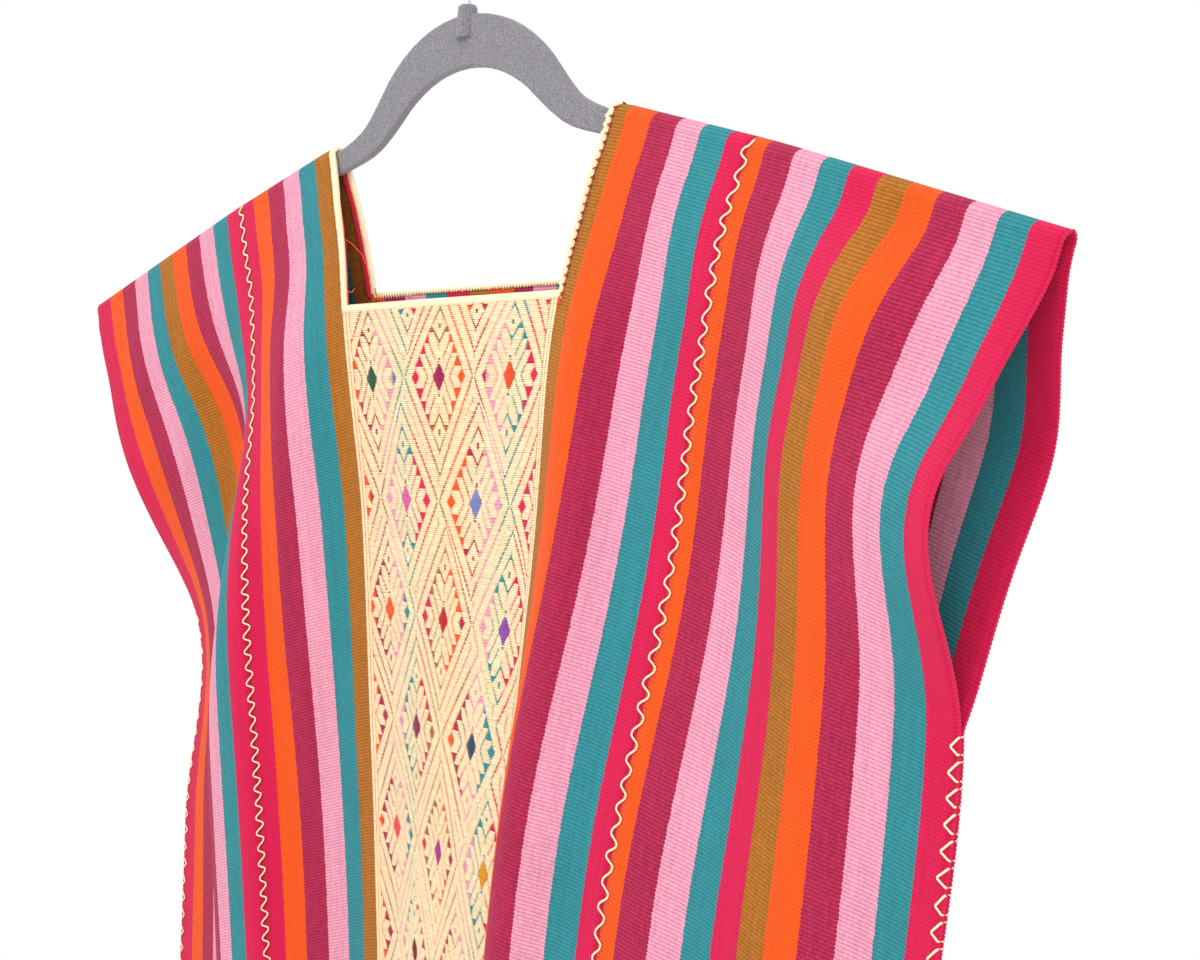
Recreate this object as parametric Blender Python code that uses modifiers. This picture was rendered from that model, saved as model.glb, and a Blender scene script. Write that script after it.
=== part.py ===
"""Huipil blouse of three hand-woven panels, hanging from a flocked flat hanger with a wire hook."""
import math
from collections import namedtuple

import bmesh
import bpy
import numpy as np
from mathutils import Matrix

# Sizes in centimetres. A place on the cloth is a flat one: how far across from its middle, and how far
# along from the shoulder fold, more than 0 in front and less than 0 at the back.
CM = 0.01
SHOULDER_Z = -13.5  # the shoulder fold beside the neck, below the point where the hook hangs
CLOTH = 0.15
GAP = 0.03  # left between pieces that touch
HALF_WIDTH = 33.0
LENGTH = 64.0
JOIN_AT = 16.95  # where a side panel is laced to the centre panel
ARMHOLE = 19.4
NECK_HALF = 8.6
NECK_FRONT = 9.45
NECK_BACK = 8.8
EDGING_WIDE = 0.42
EDGING_THICK = 0.24
EDGING_CORNER = 0.25
ARM_BELOW = 0.2  # from the middle of the cloth's fold down to the hanger's arm
HANGER_HALF = 22.2
HANGER_THICK = 0.5
HANGER_ROUND = 0.14
ARM_DEEP = 1.2
TIP_ROUND = 0.5
BOSS_RADIUS = 0.45
BOSS_FOOT = 0.62
BOSS_ROUND = 0.16
BOSS_TOP = 5.98
BOSS_HIGH = 1.6
WIRE_RADIUS = 0.175
HOOK_RADIUS = 1.85
HOOK_FROM = math.radians(-50.0)
HOOK_TO = math.radians(195.0)
SOCKET_DEEP = 0.9
STEM_HIGH = 2.2
NECK_SPREAD = 2.1  # how far each strap slides out along the sloping arm
SPREAD_ENDS = 14.0
SHOULDER_SLOPE = math.radians(16.0)
ARM_SLOPE = math.radians(18.0)
SLOPE_CHANGES = 18.1
FOLD_RADIUS = 0.42
ARM_GRIP = 1.9  # how far down the cloth lies flat on the hanger's arm
SHORTENING = 0.6  # height lost where the cloth leans, over the first SPREAD_ENDS
SEAM_REACH = 12.0  # how much of the back is drawn towards the side seam
SEAM_DRAWS_FROM = 0.3 * ARMHOLE  # how far down that begins, all of it being drawn at the armhole's end
SEAM_DRAW_POWER = 1.6
BIB_RAISE = 0.06
LOZENGE_WIDE = 6.3
LOZENGE_HIGH = 11.6
BIB_ROW = LOZENGE_HIGH / 6
LOZENGE_FIRST = 13.0  # the middle of the top row of lozenges

# One row for each flank of a fold: how many degrees the cloth turns towards the back as it runs to the
# right, at five heights. The flank's middle moves from at_yoke to at_hem.
Flank = namedtuple("Flank", "name at_yoke at_hem reach cap yoke chest waist hem")
CAP, YOKE, CHEST, WAIST = 5.5, 10.0, 20.0, 32.0
FRONT_FLANKS = (
    Flank("bib_leans", -1.0, -0.5, 12.0, -5, -8, -18, -27, -40),
    Flank("bib_swells", 0.5, 0.5, 6.5, 4, 6, 8, 8, 8),
    Flank("right_ridge_rises", 9.2, 9.6, 3.2, 2, -14, -32, -54, -50),
    Flank("right_ridge_falls", 11.8, 13.4, 2.6, 2, 34, 37, 43, 32),
    Flank("right_strap_turns_back", 15.2, 15.6, 3.2, 0, 1, 8, 0, 2),
    Flank("right_join_swells", 19.8, 20.0, 2.8, -4, 2, 8, 20, 12),
    Flank("right_side_comes_forward", 22.3, 23.3, 4.8, -18, -28, -20, -4, -6),
    Flank("right_sleeve_turns_back", 28.4, 28.6, 3.4, 28, -4, 18, 26, 12),
    Flank("right_sleeve_edge_comes_forward", 32.2, 32.6, 3.4, -14, -22, 6, -6, -8),
    Flank("left_strap_rises_by_the_bib", -10.8, -10.6, 2.6, 4, 22, 18, 2, 0),
    Flank("left_strap_rises", -12.6, -13.4, 3.4, 0, 0, 22, 21, 20),
    Flank("left_strap_dips", -15.0, -15.2, 2.2, -6, -16, -16, -4, -6),
    Flank("left_join_swells", -16.4, -16.6, 2.0, 0, -4, 28, 38, 8),
    Flank("left_side_turns_back", -20.2, -24.5, 5.4, -4, -27, -50, -46, -24),
    Flank("left_sleeve_opens", -25.4, -27.0, 3.4, 6, 22, 0, 0, 0),
    Flank("left_sleeve_edge_turns_back", -31.0, -31.0, 4.5, -4, 4, -26, -12, 0),
)
BACK_FLANKS = (
    Flank("left_side_leans_back", -22.0, -23.0, 9.0, -4, -8, -14, -16, -14),
    Flank("left_back_ridge_inner", -10.0, -8.0, 5.0, 1, 2, 8, 8, 10),
    Flank("left_back_ridge_outer", -16.0, -15.0, 5.0, -2, -4, -8, -10, -14),
    Flank("middle_back_rises", 0.0, 2.0, 6.0, 0, 0, 8, 14, 16),
    Flank("middle_back_falls", 8.0, 9.0, 5.0, 0, 0, -8, -18, -20),
    Flank("right_back_rises", 17.0, 18.0, 5.0, 2, 4, 10, 14, 18),
    Flank("right_sleeve_bulges", 28.5, 28.0, 5.5, 2, 12, 4, 0, -8),
)
# One row for each height: where the middle of the front and of the back hang, forward being less than 0.
Height = namedtuple("Height", "name down front back")
HEIGHTS = (
    Height("fold", 0.0, 0.0, 0.0),
    Height("yoke", YOKE, -1.1, 0.8),
    Height("chest", CHEST, -1.15, 1.3),
    Height("waist", WAIST, -1.65, 1.9),
    Height("hem", LENGTH, -2.4, 2.6),
)
# The places across at which a section is worked out.
FINE = np.arange(-HALF_WIDTH, HALF_WIDTH + 0.01, 0.25)


def ease(t):
    t = np.clip(t, 0.0, 1.0)
    return t * t * (3.0 - 2.0 * t)


def bell(t):
    return 0.5 + 0.5 * np.cos(math.pi * np.clip(t, -1.0, 1.0))


def through(down, heights, values):
    """A soft curve through a value at each height."""
    at = np.clip(down, heights[0], heights[-1])
    k = int(np.clip(np.searchsorted(heights, at, side="right") - 1, 0, len(heights) - 2))
    slopes = np.gradient(np.array(values, float), np.array(heights, float))
    step = heights[k + 1] - heights[k]
    t = (at - heights[k]) / step
    a, b = values[k], values[k + 1]
    rise = (t**3 - 2 * t**2 + t) * slopes[k] + (t**3 - t**2) * slopes[k + 1]
    return a + (b - a) * (3 * t**2 - 2 * t**3) + step * rise


def slope_of(across):
    """The sine of the shoulder's slope, none across the neck."""
    strap = ease((abs(across) - NECK_HALF + 1.0) / 2.0)
    arm = ease((abs(across) - SLOPE_CHANGES + 2.0) / 4.0)
    return math.sin(SHOULDER_SLOPE) * strap + (math.sin(ARM_SLOPE) - math.sin(SHOULDER_SLOPE)) * arm


def from_middle(values):
    """The running total of values along FINE, 0 in the middle."""
    steps = 0.5 * (values[1:] + values[:-1]) * np.diff(FINE)
    total = np.concatenate([[0.0], np.cumsum(steps)])
    return total - np.interp(0.0, FINE, total)


SHOULDER_DROP = -np.sign(FINE) * from_middle(slope_of(FINE))


def plain_section(down, front):
    """Where the cloth runs at one height, as x and y along FINE, before the side seams draw it in."""
    turn = np.zeros_like(FINE)
    for flank in FRONT_FLANKS if front else BACK_FLANKS:
        moved = ease((down - YOKE) / (WAIST - YOKE))
        middle = flank.at_yoke + (flank.at_hem - flank.at_yoke) * moved
        heights = (ARM_GRIP, CAP, YOKE, CHEST, WAIST, LENGTH)
        turns = (0.0, flank.cap, flank.yoke, flank.chest, flank.waist, flank.hem)
        amount = through(down, heights, turns)
        turn += math.radians(1.0) * amount * bell((FINE - middle) / flank.reach)
    across = np.cos(turn) * np.sqrt(1.0 - slope_of(FINE) ** 2)
    spread = NECK_SPREAD * (1.0 - min(down / SPREAD_ENDS, 1.0)) ** 2
    x = from_middle(across) + spread * np.clip(FINE / NECK_HALF, -1.0, 1.0)
    outwards = -1.0 if front else 1.0
    wrapped = min(down / FOLD_RADIUS, math.pi / 2)
    middles = [height.front if front else height.back for height in HEIGHTS]
    middle_y = through(down, [height.down for height in HEIGHTS], middles) * ease(down / (2 * ARM_GRIP))
    y = from_middle(np.sin(turn)) + middle_y + outwards * FOLD_RADIUS * math.sin(wrapped)
    return x, y


def section(down, front):
    """Where the cloth runs at one height: below the armholes the back's edges come to the front's."""
    x, y = plain_section(down, front)
    if not front:
        held = min(max(down - SEAM_DRAWS_FROM, 0.0) / (ARMHOLE - SEAM_DRAWS_FROM), 1.0) ** SEAM_DRAW_POWER
        front_x, front_y = plain_section(down, True)
        for end in (0, -1):
            near = ease((np.abs(FINE) - HALF_WIDTH + SEAM_REACH) / SEAM_REACH)
            pull = held * near * (FINE * FINE[end] > 0)
            x = x + pull * (front_x[end] - x[end])
            y = y + pull * (front_y[end] + CLOTH + GAP - y[end])
    return x, y


def drop_of(down):
    wrap = FOLD_RADIUS * math.pi / 2
    if down < wrap:
        return FOLD_RADIUS * (1.0 - math.cos(down / FOLD_RADIUS))
    lost = SHORTENING * (1.0 - (1.0 - min(down / SPREAD_ENDS, 1.0)) ** 2)
    return FOLD_RADIUS + (down - wrap) - lost


def drape(across, along):
    """The points of the cloth's middle, for each place along by each place across."""
    points = np.zeros((len(along), len(across), 3))
    for row, v in enumerate(along):
        x, y = section(abs(v), v >= 0)
        points[row, :, 0] = np.interp(across, FINE, x)
        points[row, :, 1] = np.interp(across, FINE, y)
        points[row, :, 2] = SHOULDER_Z + np.interp(across, FINE, SHOULDER_DROP) - drop_of(abs(v))
    return points


def outward(across, along):
    """The cloth's outward directions at the same places."""
    near = 0.12
    down = drape(across, along + near) - drape(across, along - near)
    inside = np.clip(across, -HALF_WIDTH + near, HALF_WIDTH - near)
    right = drape(inside + near, along) - drape(inside - near, along)
    normal = np.cross(down, right)
    return normal / np.linalg.norm(normal, axis=2, keepdims=True)


# One row for each section of the hanger's hump, from its middle to where the arm begins: its middle above
# SHOULDER_Z, and how deep it is.
Hump = namedtuple("Hump", "name x z deep")
HUMP = (
    Hump("crown", 0.0, 4.2, 2.6),
    Hump("crown_side", 2.85, 3.65, 2.45),
    Hump("haunch", 4.93, 2.42, 2.15),
    Hump("flank", 6.2, 1.2, 1.85),
    Hump("foot", 7.4, 0.2, 1.55),
    Hump("arm_root", 9.5, -0.63, ARM_DEEP),
)


def clear_scene():
    for old in list(bpy.data.objects):
        bpy.data.objects.remove(old, do_unlink=True)


def new_collection(name, helper=False):
    made = bpy.data.collections.new(name)
    bpy.context.scene.collection.children.link(made)
    made.hide_render = helper
    return made


def new_material(name, colour, roughness, metallic=0.0):
    made = bpy.data.materials.new(name)
    made.use_nodes = True
    shader = made.node_tree.nodes["Principled BSDF"]
    shader.inputs["Base Color"].default_value = (*colour, 1.0)
    shader.inputs["Roughness"].default_value = roughness
    shader.inputs["Metallic"].default_value = metallic
    return made


def new_object(name, bm, material, collection):
    bmesh.ops.recalc_face_normals(bm, faces=bm.faces)
    mesh = bpy.data.meshes.new(name)
    bm.to_mesh(mesh)
    bm.free()
    mesh.materials.append(material)
    made = bpy.data.objects.new(name, mesh)
    collection.objects.link(made)
    return made


def lozenge_raise(across, along):
    """How far the brocade stands out: most along the lattice between its lozenges, and none off the bib."""
    u, v = np.meshgrid(across, along)
    bands = np.zeros_like(u)
    for way in (1.0, -1.0):
        phase = u / LOZENGE_WIDE + way * (v - LOZENGE_FIRST) / LOZENGE_HIGH
        bands = np.maximum(bands, bell((np.mod(phase, 1.0) - 0.5) / 0.2))
    on_bib = (np.abs(u) < NECK_HALF - 0.1) & (v > NECK_FRONT + 0.1)
    return BIB_RAISE * (0.35 + 0.65 * bands) * on_bib


def lay_sheet(bm, points, across, along):
    """Lay a grid on the points, less the neck hole, and give its vertices by column and row."""
    columns, rows = len(across) - 1, len(along) - 1
    grid = bmesh.ops.create_grid(bm, x_segments=columns, y_segments=rows, size=1.0)["verts"]
    places = {}
    for vert in grid:
        places[vert] = (round((vert.co.x + 1) / 2 * columns), round((vert.co.y + 1) / 2 * rows))
    hole = []
    for face in {face for vert in grid for face in vert.link_faces}:
        u = np.mean([across[places[vert][0]] for vert in face.verts])
        v = np.mean([along[places[vert][1]] for vert in face.verts])
        if abs(u) < NECK_HALF and -NECK_BACK < v < NECK_FRONT:
            hole.append(face)
    bmesh.ops.delete(bm, geom=hole, context="FACES")
    sheet = {}
    for vert, (i, j) in places.items():
        if vert.is_valid:
            vert.co = points[j, i] * CM
            sheet[i, j] = vert
    return sheet


def plain_panel(name, across, along, material, collection):
    """A panel of even thickness."""
    bm = bmesh.new()
    lay_sheet(bm, drape(across, along), across, along)
    panel = new_object(name, bm, material, collection)
    wall = panel.modifiers.new("cloth", "SOLIDIFY")
    wall.thickness = CLOTH * CM
    wall.offset = 0.0
    return panel


def brocaded_panel(name, across, along, material, collection):
    """A panel whose outer points stand out where it is brocaded, over a plain inside."""
    middle, normal = drape(across, along), outward(across, along)
    raised = lozenge_raise(across, along)[..., None]
    bm = bmesh.new()
    outer = lay_sheet(bm, middle + normal * (CLOTH / 2 + raised), across, along)
    inner = lay_sheet(bm, middle - normal * CLOTH / 2, across, along)
    place_of = {vert: place for place, vert in outer.items()}
    for edge in [edge for edge in bm.edges if edge.is_boundary and edge.verts[0] in place_of]:
        a, b = (place_of[vert] for vert in edge.verts)
        bm.faces.new((outer[a], outer[b], inner[b], inner[a]))
    return new_object(name, bm, material, collection)


def steps(*stops):
    """Places from the first stop on, each stop after it coming behind the size of the steps up to it."""
    places = [stops[0]]
    for step, end in zip(stops[1::2], stops[2::2]):
        count = max(1, round((end - places[-1]) / step))
        places += list(np.linspace(places[-1], end, count + 1)[1:])
    return np.array(places)


def flat_ring(centre, wide_way, thick_way, wide, thick):
    """A flat section: points round a rectangle with its corners cut off."""
    cut = 0.3 * thick
    x, y = wide / 2, thick / 2
    half = ((x, cut - y), (x, y - cut), (x - cut, y), (cut - x, y))
    corners = half + tuple((-a, -b) for a, b in half)
    return [centre + wide_way * a + thick_way * b for a, b in corners]


def neck_edging(material, collection):
    """The crocheted edge: a flat cord laid just inside the neck hole, over both shoulders."""
    inset = GAP + EDGING_WIDE / 2
    side = NECK_HALF - inset
    front, back = NECK_FRONT - inset, NECK_BACK - inset
    down = steps(0.0, 0.22, 0.66, 0.5, 1.2, 1.2, front - EDGING_CORNER)
    up = steps(0.0, 0.22, 0.66, 0.5, 1.2, 1.2, back - EDGING_CORNER)
    across = steps(EDGING_CORNER - side, 1.1, side - EDGING_CORNER)
    right_side = [(side, -v) for v in up[::-1]] + [(side, v) for v in down[1:]]
    path = right_side + [(-u, front) for u in across]
    path += [(-u, v) for u, v in right_side[::-1]] + [(u, -back) for u in across]
    points = [drape(np.array([u]), np.array([v]))[0, 0] for u, v in path]
    rings = []
    for k, (u, v) in enumerate(path):
        thick_way = outward(np.array([u]), np.array([v]))[0, 0]
        along = points[(k + 1) % len(path)] - points[k - 1]
        wide_way = np.cross(along, thick_way)
        wide_way /= np.linalg.norm(wide_way)
        rings.append(flat_ring(points[k], wide_way, thick_way, EDGING_WIDE, EDGING_THICK))
    bm = bmesh.new()
    made = [[bm.verts.new(point * CM) for point in ring] for ring in rings]
    around = len(made[0])
    for ring, after in zip(made, made[1:] + made[:1]):
        for k in range(around):
            following = (k + 1) % around
            bm.faces.new((ring[k], ring[following], after[following], after[k]))
    return new_object("neck_edging", bm, material, collection)


def hanger_path():
    """The hanger's middle line and depth, as x, z and depth from one tip to the other."""
    fold_x = plain_section(0.0, True)[0]
    rows = [(-HUMP[1].x, HUMP[1].z, HUMP[1].deep)] + [(hump.x, hump.z, hump.deep) for hump in HUMP]
    for x in steps(12.0, 1.7, HANGER_HALF - TIP_ROUND, TIP_ROUND / 2, HANGER_HALF):
        deep = ARM_DEEP * (1.0 - 0.45 * ease((x - HANGER_HALF + TIP_ROUND) / TIP_ROUND))
        rows.append((x, np.interp(x, fold_x, SHOULDER_DROP) - ARM_BELOW - ARM_DEEP / 2, deep))
    columns = [np.array(column) for column in zip(*rows)]
    reach = np.concatenate([[0.0], np.cumsum(np.hypot(np.diff(columns[0]), np.diff(columns[1])))])
    half = []
    for s in steps(reach[1], 0.7, reach[len(HUMP) + 1], 1.7, reach[-3], 0.2, reach[-1]):
        half.append([through(s, reach, column) for column in columns])
    return np.array([(-x, z, deep) for x, z, deep in half[:0:-1]] + half)


def new_curve(name, points, closed):
    data = bpy.data.curves.new(name, "CURVE")
    spline = data.splines.new("POLY")
    spline.points.add(len(points) - 1)
    for point, place in zip(spline.points, points):
        point.co = (*(np.array(place) * CM), 1.0)
    spline.use_cyclic_u = closed
    return data


def add_boolean(target, tool, operation):
    joined = target.modifiers.new(tool.name, "BOOLEAN")
    joined.operation = operation
    joined.solver = "EXACT"
    joined.object = tool


def peg(name, foot, head, rim, bottom, top, collection):
    """A round upright piece, foot and head being its radii and rim the rounding of its top edge."""
    bm = bmesh.new()
    depth = (top - bottom) * CM
    bmesh.ops.create_cone(bm, cap_ends=True, segments=20, radius1=foot * CM, radius2=head * CM, depth=depth)
    if rim:
        top_edges = [edge for edge in bm.edges if min(vert.co.z for vert in edge.verts) > 0]
        bmesh.ops.bevel(bm, geom=top_edges, offset=rim * CM, segments=3, profile=0.5, affect="EDGES")
    mesh = bpy.data.meshes.new(name)
    bm.to_mesh(mesh)
    bm.free()
    made = bpy.data.objects.new(name, mesh)
    made.location.z = (bottom + top) / 2 * CM
    made.display_type = "WIRE"
    made.hide_render = True
    collection.objects.link(made)
    return made


def hanger(material, collection, helpers):
    """The flat moulded hanger: humped middle, sloping arms and a round boss drilled for the hook."""
    path = hanger_path()
    way = np.gradient(path[:, :2], axis=0)
    way /= np.linalg.norm(way, axis=1, keepdims=True)
    half = np.stack([-way[:, 1], way[:, 0]], axis=1) * path[:, 2:] / 2
    outline = np.concatenate([path[:, :2] + half, (path[:, :2] - half)[::-1]])
    outline[:, 1] += SHOULDER_Z
    flat = new_curve("hanger_outline", [(x, z, 0.0) for x, z in outline], closed=True)
    flat.dimensions = "2D"
    flat.fill_mode = "BOTH"
    flat.extrude = (HANGER_THICK / 2 - HANGER_ROUND) * CM
    flat.bevel_depth = HANGER_ROUND * CM
    flat.bevel_resolution = 1
    flat.offset = -HANGER_ROUND * CM
    drawn = bpy.data.objects.new("hanger_outline", flat)
    collection.objects.link(drawn)
    graph = bpy.context.evaluated_depsgraph_get()
    bm = bmesh.new()
    bm.from_mesh(bpy.data.meshes.new_from_object(drawn.evaluated_get(graph)))
    bpy.data.objects.remove(drawn, do_unlink=True)
    bmesh.ops.remove_doubles(bm, verts=bm.verts, dist=1e-6)
    bmesh.ops.rotate(bm, verts=bm.verts, matrix=Matrix.Rotation(math.radians(90), 3, "X"))
    body = new_object("hanger", bm, material, collection)
    top = SHOULDER_Z + BOSS_TOP
    boss = peg("boss", BOSS_FOOT, BOSS_RADIUS, BOSS_ROUND, top - BOSS_HIGH, top, helpers)
    drill = WIRE_RADIUS + GAP
    socket = peg("socket", drill, drill, 0.0, top - SOCKET_DEEP, top + SOCKET_DEEP, helpers)
    add_boolean(body, boss, "UNION")
    add_boolean(body, socket, "DIFFERENCE")


def hanger_hook(material, collection):
    """The wire hook: a stem in the boss, a bend to one side and a round hook, its inner top at the origin."""
    ring = HOOK_RADIUS + WIRE_RADIUS
    turn = np.linspace(HOOK_FROM, HOOK_TO, 26)
    hook = [(ring * math.cos(a), 0.0, ring * math.sin(a) - HOOK_RADIUS) for a in turn]
    stem_bottom = SHOULDER_Z + BOSS_TOP - SOCKET_DEEP + GAP
    stem_top = stem_bottom + STEM_HIGH
    points = [(0.0, 0.0, z) for z in steps(stem_bottom, 1.1, stem_top)]
    for t in np.linspace(0, 1, 8)[1:-1]:
        points.append((hook[0][0] * ease(t), 0.0, stem_top + (hook[0][2] - stem_top) * t))
    rod = new_curve("hanger_hook", points + hook, closed=False)
    rod.dimensions = "3D"
    rod.bevel_depth = WIRE_RADIUS * CM
    rod.bevel_resolution = 2
    rod.use_fill_caps = True
    rod.materials.append(material)
    collection.objects.link(bpy.data.objects.new("hanger_hook", rod))


clear_scene()
parts = new_collection("huipil_blouse_on_hanger")
helpers = new_collection("helpers", helper=True)
striped = new_material("striped_cotton", (0.62, 0.05, 0.16), 0.9)
cream = new_material("cream_cotton", (0.93, 0.80, 0.50), 0.9)
flock = new_material("grey_flock", (0.30, 0.28, 0.30), 0.95)
wire = new_material("hook_wire", (0.75, 0.75, 0.76), 0.3, 1.0)

# Places along the cloth, closer over the shoulder fold: start, step, end, step and the next end.
fold_rows = (0.0, 0.22, 0.66, 0.42, 1.5)
side_rows = steps(*fold_rows, 2.2, LENGTH)
side_along = np.concatenate([-side_rows[:0:-1], side_rows])
side_across = steps(JOIN_AT + GAP / 2, 1.34, HALF_WIDTH)
plain_panel("side_panel_right", side_across, side_along, striped, parts)
plain_panel("side_panel_left", -side_across[::-1], side_along, striped, parts)

bib_starts = LOZENGE_FIRST - BIB_ROW
bib_ends = bib_starts + BIB_ROW * int((LENGTH - bib_starts) / BIB_ROW)
front_rows = steps(*fold_rows, 1.9, NECK_FRONT, 1.9, bib_starts, BIB_ROW, bib_ends, 1.0, LENGTH)
back_rows = steps(*fold_rows, 1.9, NECK_BACK, 2.3, LENGTH)
centre_along = np.concatenate([-back_rows[:0:-1], front_rows])
bib_column = LOZENGE_WIDE / 6
motif = bib_column * int(NECK_HALF / bib_column)
strap_across = steps(NECK_HALF, 1.4, JOIN_AT - GAP / 2)
bib_across = steps(-NECK_HALF, 0.5, -motif, bib_column, motif, 0.5, NECK_HALF)
centre_across = np.concatenate([-strap_across[:0:-1], bib_across, strap_across[1:]])
brocaded_panel("centre_panel", centre_across, centre_along, striped, parts)

neck_edging(cream, parts)
hanger(flock, parts, helpers)
hanger_hook(wire, parts)
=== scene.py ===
import math
import random
from collections import namedtuple

import bpy
import numpy as np
from mathutils import Matrix, Vector


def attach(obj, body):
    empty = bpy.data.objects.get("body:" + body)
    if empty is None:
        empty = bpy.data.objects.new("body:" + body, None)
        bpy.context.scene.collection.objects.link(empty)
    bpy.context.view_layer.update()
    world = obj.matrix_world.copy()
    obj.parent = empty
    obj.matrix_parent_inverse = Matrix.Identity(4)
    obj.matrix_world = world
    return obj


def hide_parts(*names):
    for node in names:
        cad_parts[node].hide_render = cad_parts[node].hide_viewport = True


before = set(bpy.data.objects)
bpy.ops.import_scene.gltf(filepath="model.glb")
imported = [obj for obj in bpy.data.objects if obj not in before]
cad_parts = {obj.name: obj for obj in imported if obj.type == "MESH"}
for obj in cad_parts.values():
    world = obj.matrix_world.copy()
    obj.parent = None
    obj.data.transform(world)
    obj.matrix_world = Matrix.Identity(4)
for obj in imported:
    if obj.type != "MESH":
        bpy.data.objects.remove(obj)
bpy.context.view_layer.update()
random.seed(7)
rng = np.random.default_rng(7)

# ---- camera
camera = {
    "place": (0.7439, -0.6404, -0.2759),
    "yaw": 45.5,  # degrees left of straight back
    "pitch": -1.78,
    "roll": 0.08,
    "lens": 60.0,
}
cameraData = bpy.data.cameras.new("camera")
cameraData.lens = camera["lens"]
cameraData.sensor_width = 36.0
cameraData.clip_start = 0.01
cameraObject = bpy.data.objects.new("camera", cameraData)
bpy.context.scene.collection.objects.link(cameraObject)
cameraObject.rotation_mode = "QUATERNION"
turn = (Matrix.Rotation(math.radians(camera["yaw"]), 3, "Z")
        @ Matrix.Rotation(math.radians(90.0 + camera["pitch"]), 3, "X")
        @ Matrix.Rotation(math.radians(camera["roll"]), 3, "Z"))
cameraObject.rotation_quaternion = turn.to_quaternion()
cameraObject.location = camera["place"]
bpy.context.scene.camera = cameraObject
print("camera ready")

# ---- how the cloth hangs, in centimetres
# A place on the cloth is a flat one: across from its middle, and along from the shoulder fold, more than 0
# in front and less than 0 at the back.
cm = 0.01
cloth = {
    "shoulderZ": -13.5,
    "thick": 0.15,
    "shown": 0.12,  # the shell's own thickness
    "gap": 0.03,
    "halfWidth": 33.0,
    "length": 64.0,
    "joinAt": 16.95,
    "armhole": 19.4,  # down to the side seam
    "neckHalf": 8.6,
    "neckFront": 9.45,
    "neckHoleBack": 8.5,  # the cloth runs on under a narrower edging at the back
    "neckSpread": 2.1,
    "spreadEnds": 14.0,
    "shoulderSlope": math.radians(16.0),
    "armSlope": math.radians(18.0),
    "slopeChanges": 18.1,
    "foldRadius": 0.42,
    "armGrip": 1.9,
    "shortening": 0.6,
    "seamReach": 12.0,
    "seamDrawShare": 0.3,  # of the armhole, from where its edges draw together towards the seam
    "seamDrawPower": 1.6,
}
cap, yoke, chest, waist = 5.5, 10.0, 20.0, 32.0  # heights down from the shoulder
# a fold's flank: its middle across at the yoke and at the hem, its reach to each side, and the degrees that
# it turns back at the cap, yoke, chest, waist and hem
flank = namedtuple("flank", "name atYoke atHem reach degrees")
frontFlanks = (
    flank("bib leans", -1.0, -0.5, 12.0, (-5, -8, -18, -27, -40)),
    flank("bib swells", 0.5, 0.5, 6.5, (4, 6, 8, 8, 8)),
    flank("right ridge rises", 9.2, 9.6, 3.2, (2, -14, -32, -54, -50)),
    flank("right ridge falls", 11.8, 13.4, 2.6, (2, 34, 37, 43, 32)),
    flank("right strap turns back", 15.2, 15.6, 3.2, (0, 1, 8, 0, 2)),
    flank("right join swells", 19.8, 20.0, 2.8, (-4, 2, 8, 20, 12)),
    flank("right side comes forward", 22.3, 23.3, 4.8, (-18, -28, -20, -4, -6)),
    flank("right sleeve turns back", 28.4, 28.6, 3.4, (28, -4, 18, 26, 12)),
    flank("right sleeve edge comes forward", 32.2, 32.6, 3.4, (-14, -22, 6, -6, -8)),
    flank("left strap rises by the bib", -10.8, -10.6, 2.6, (4, 22, 18, 2, 0)),
    flank("left strap rises", -12.6, -13.4, 3.4, (0, 0, 22, 21, 20)),
    flank("left strap dips", -15.0, -15.2, 2.2, (-6, -16, -16, -4, -6)),
    flank("left join swells", -16.4, -16.6, 2.0, (0, -4, 28, 38, 8)),
    flank("left side turns back", -20.2, -24.5, 5.4, (-4, -27, -50, -46, -24)),
    flank("left sleeve opens", -25.4, -27.0, 3.4, (6, 22, 0, 0, 0)),
    flank("left sleeve edge turns back", -31.0, -31.0, 4.5, (-4, 4, -26, -12, 0)),
)
backFlanks = (
    flank("left side leans back", -22.0, -23.0, 9.0, (-4, -8, -14, -16, -14)),
    flank("left back ridge, inner", -10.0, -8.0, 5.0, (1, 2, 8, 8, 10)),
    flank("left back ridge, outer", -16.0, -15.0, 5.0, (-2, -4, -8, -10, -14)),
    flank("middle back rises", 0.0, 2.0, 6.0, (0, 0, 8, 14, 16)),
    flank("middle back falls", 8.0, 9.0, 5.0, (0, 0, -8, -18, -20)),
    flank("right back rises", 17.0, 18.0, 5.0, (2, 4, 10, 14, 18)),
    flank("right sleeve bulges", 28.5, 28.0, 5.5, (2, 12, 4, 0, -8)),
)
# down, then where the middle of the front and of the back hang
middles = ((0.0, 0.0, 0.0), (yoke, -1.1, 0.8), (chest, -1.15, 1.3), (waist, -1.65, 1.9),
           (cloth["length"], -2.4, 2.6))
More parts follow.
